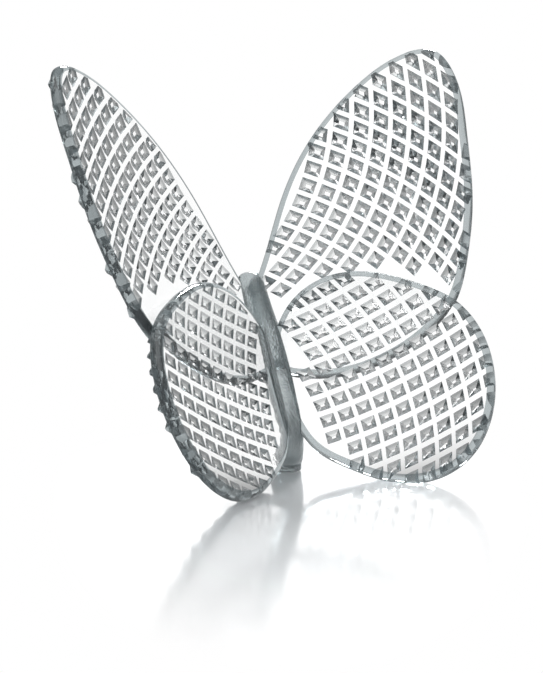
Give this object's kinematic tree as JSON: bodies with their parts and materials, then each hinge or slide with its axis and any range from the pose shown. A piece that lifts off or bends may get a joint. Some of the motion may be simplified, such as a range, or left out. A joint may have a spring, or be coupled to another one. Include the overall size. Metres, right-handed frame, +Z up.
{
  "type": "butterfly ornament",
  "caption": "Clear glass butterfly ornament with raised wings, diamond points cut in their backs, standing on its tail and hindwings as decoration.",
  "frame": {"origin": "on the flat base of the tail foot, in the butterfly's mirror plane, at floor level", "axes": "+Z up, +X towards the butterfly's right wings, which is the viewer's right when its open side is seen; the wings open towards -Y and lean back towards +Y"},
  "size_m": [0.0714, 0.042, 0.0653],
  "materials": {
    "body_glass": "polished clear",
    "wing_glass": "polished clear, diamond points on the outer face"
  },
  "bodies": {
    "root": {"body": "body_glass", "left_forewing": "wing_glass", "right_forewing": "wing_glass", "left_hindwing": "wing_glass", "right_hindwing": "wing_glass"}
  },
  "joints": []
}
